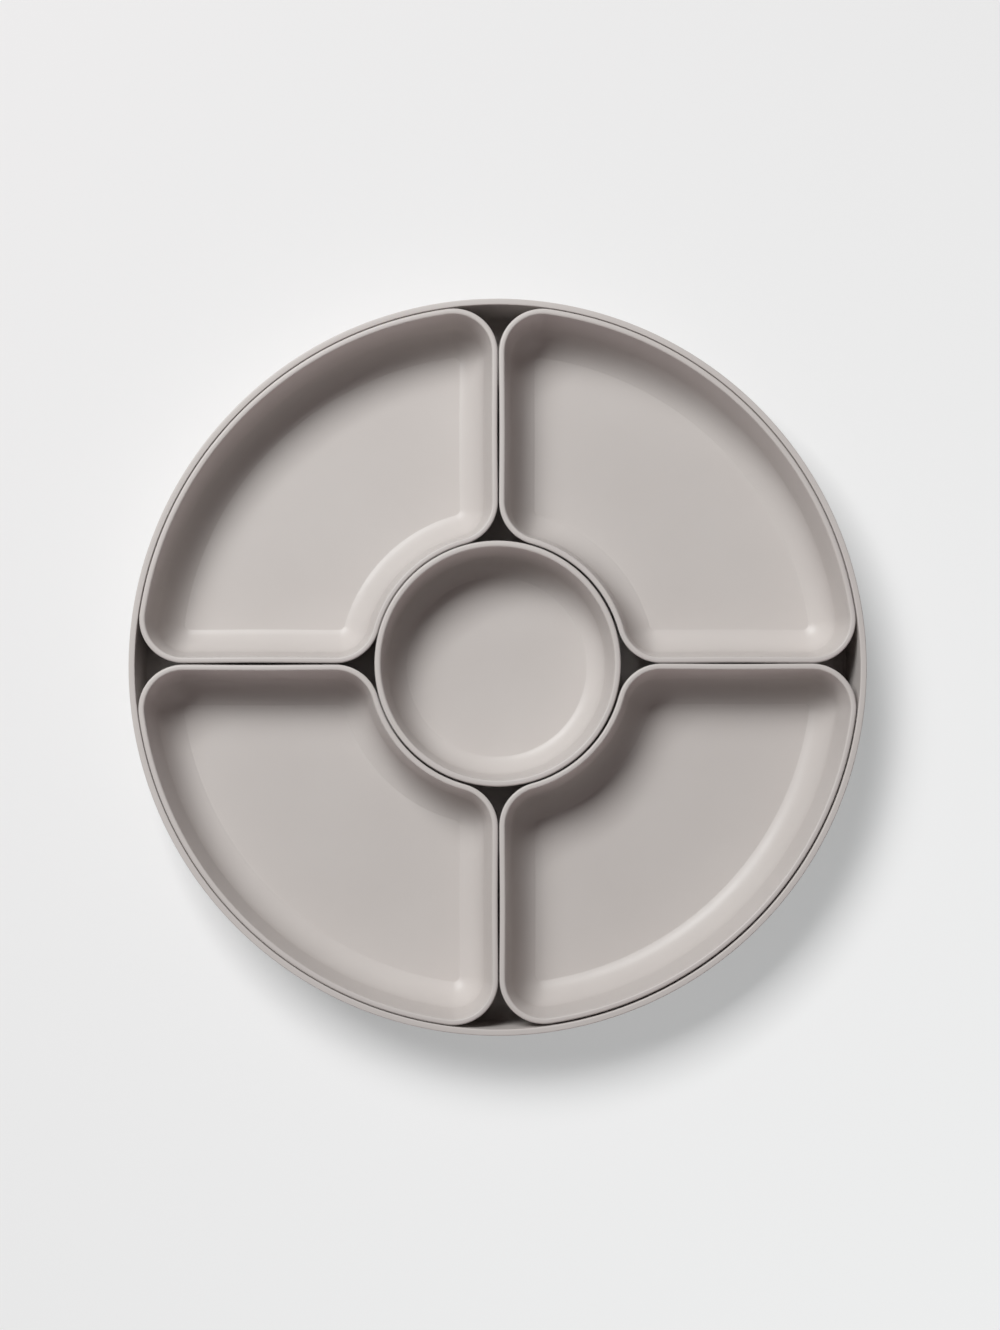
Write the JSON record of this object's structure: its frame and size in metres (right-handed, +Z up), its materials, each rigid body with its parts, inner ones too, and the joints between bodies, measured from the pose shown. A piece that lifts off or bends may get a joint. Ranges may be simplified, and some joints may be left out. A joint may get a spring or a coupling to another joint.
{
  "type": "divided serving plate",
  "caption": "Round divided serving plate: a low-walled tray that holds fan-shaped dishes round a central dip bowl, each of which lifts out.",
  "frame": {"origin": "on the surface that the tray stands on, under the middle of the tray", "axes": "+Z up, out of the dishes. +X to the right and +Y to the back, along the two straight lines between the dishes"},
  "size_m": [0.3556, 0.3556, 0.041],
  "materials": {
    "tray_melamine": "satin",
    "dish_melamine": "satin",
    "bowl_melamine": "satin"
  },
  "bodies": {
    "tray": {"serving_tray": "tray_melamine"},
    "rear_right_dish": {"fan_dish_rear_right": "dish_melamine"},
    "rear_left_dish": {"fan_dish_rear_left": "dish_melamine"},
    "front_left_dish": {"fan_dish_front_left": "dish_melamine"},
    "front_right_dish": {"fan_dish_front_right": "dish_melamine"},
    "bowl": {"dip_bowl": "bowl_melamine"}
  },
  "joints": [
    {"name": "rear_right_dish_lift", "type": "slide", "parent": "tray", "child": "rear_right_dish", "axis": [0, 0, 1], "range_m": [0, 0.06]},
    {"name": "rear_left_dish_lift", "type": "slide", "parent": "tray", "child": "rear_left_dish", "axis": [0, 0, 1], "range_m": [0, 0.06]},
    {"name": "front_left_dish_lift", "type": "slide", "parent": "tray", "child": "front_left_dish", "axis": [0, 0, 1], "range_m": [0, 0.06]},
    {"name": "front_right_dish_lift", "type": "slide", "parent": "tray", "child": "front_right_dish", "axis": [0, 0, 1], "range_m": [0, 0.06]},
    {"name": "bowl_lift", "type": "slide", "parent": "tray", "child": "bowl", "axis": [0, 0, 1], "range_m": [0, 0.06]}
  ]
}
